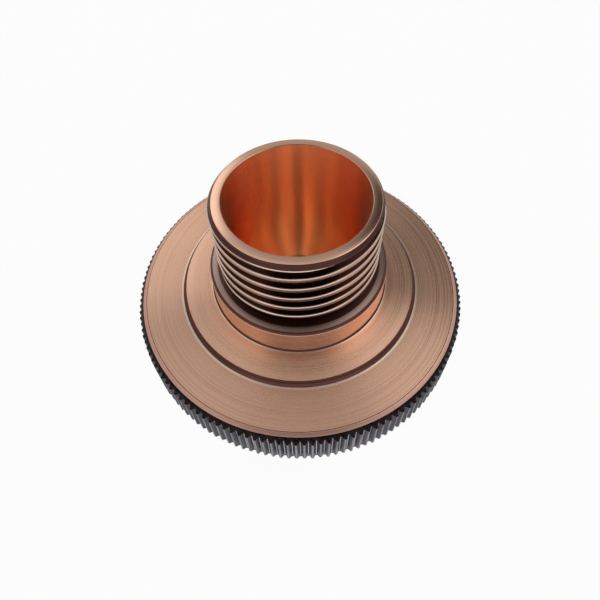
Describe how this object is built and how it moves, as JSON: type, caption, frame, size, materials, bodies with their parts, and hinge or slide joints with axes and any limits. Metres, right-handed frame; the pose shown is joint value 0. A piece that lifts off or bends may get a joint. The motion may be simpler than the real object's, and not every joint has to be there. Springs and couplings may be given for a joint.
{
  "type": "laser cutting nozzle",
  "caption": "Turned copper laser cutting nozzle: fine-threaded neck, locating collar, sealing seat, knurled flange, conical nose with a tapering bore down to a round orifice.",
  "frame": {"origin": "centre of the nose's flat tip, where the orifice opens", "axes": "+Z runs along the turning axis from the tip to the threaded neck's lip; X and Y are radial"},
  "size_m": [0.0298, 0.0298, 0.0198],
  "materials": {
    "turned_copper": "bare turned copper with fine turning lines, knurled rim blackened"
  },
  "bodies": {
    "root": {"nozzle_body": "turned_copper"}
  },
  "joints": []
}
